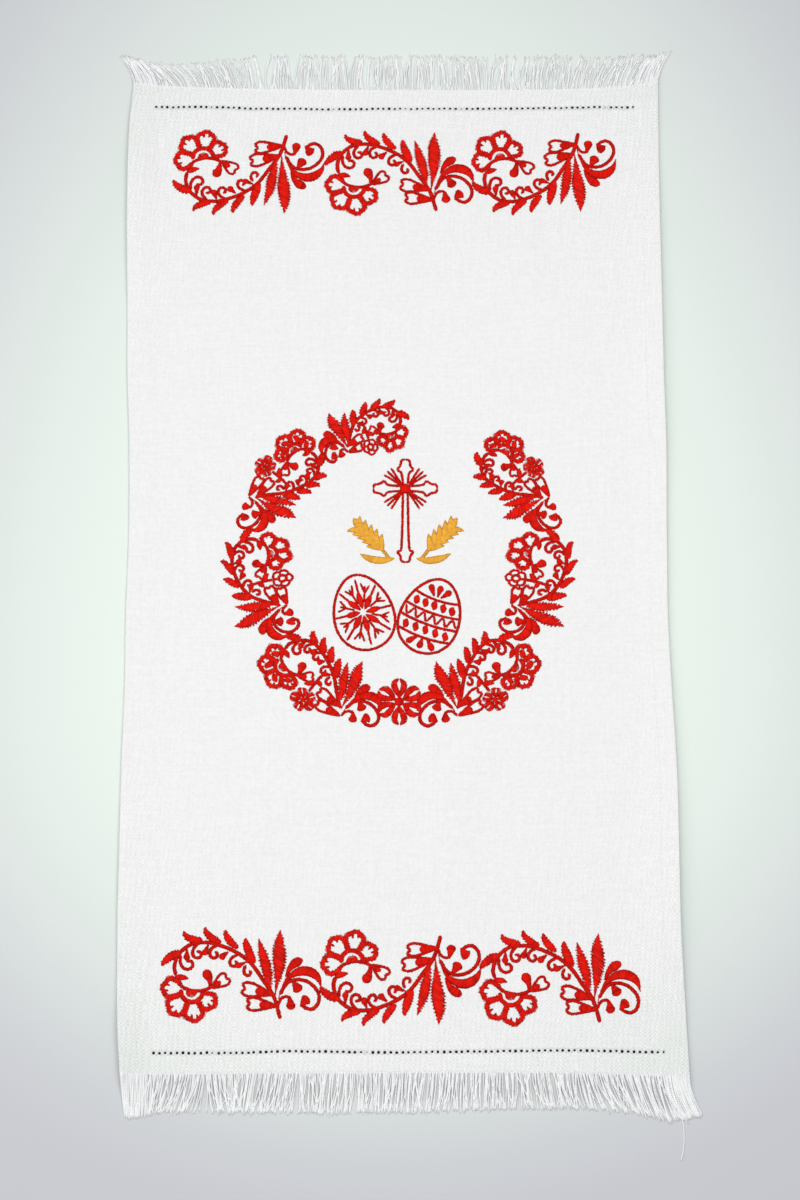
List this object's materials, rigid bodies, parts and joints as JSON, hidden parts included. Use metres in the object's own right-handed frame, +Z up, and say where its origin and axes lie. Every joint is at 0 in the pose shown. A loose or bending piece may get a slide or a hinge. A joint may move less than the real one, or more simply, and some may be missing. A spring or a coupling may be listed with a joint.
{
  "type": "embroidered rushnyk towel",
  "caption": "White woven ritual towel lying flat, with folded side hems, a fringe of free warp ends at each end, red satin-stitch borders and a wreath.",
  "frame": {"origin": "middle of the cloth's underside, on the surface it lies on", "axes": "+X across the towel to its right side, +Y along the towel to its far end, +Z up out of the embroidered face"},
  "size_m": [0.372, 0.7318, 0.0055],
  "materials": {
    "white_cloth": "plain weave, matt, bleached",
    "white_warp": "loose warp threads, matt, bleached",
    "red_thread": "satin stitch in lustrous red thread",
    "gold_thread": "satin stitch in lustrous gold-coloured thread",
    "hole_shade": "the dark inside the hemstitch holes"
  },
  "bodies": {
    "root": {"cloth": "white_cloth", "fringe_top": "white_warp", "fringe_bottom": "white_warp"}
  },
  "joints": []
}
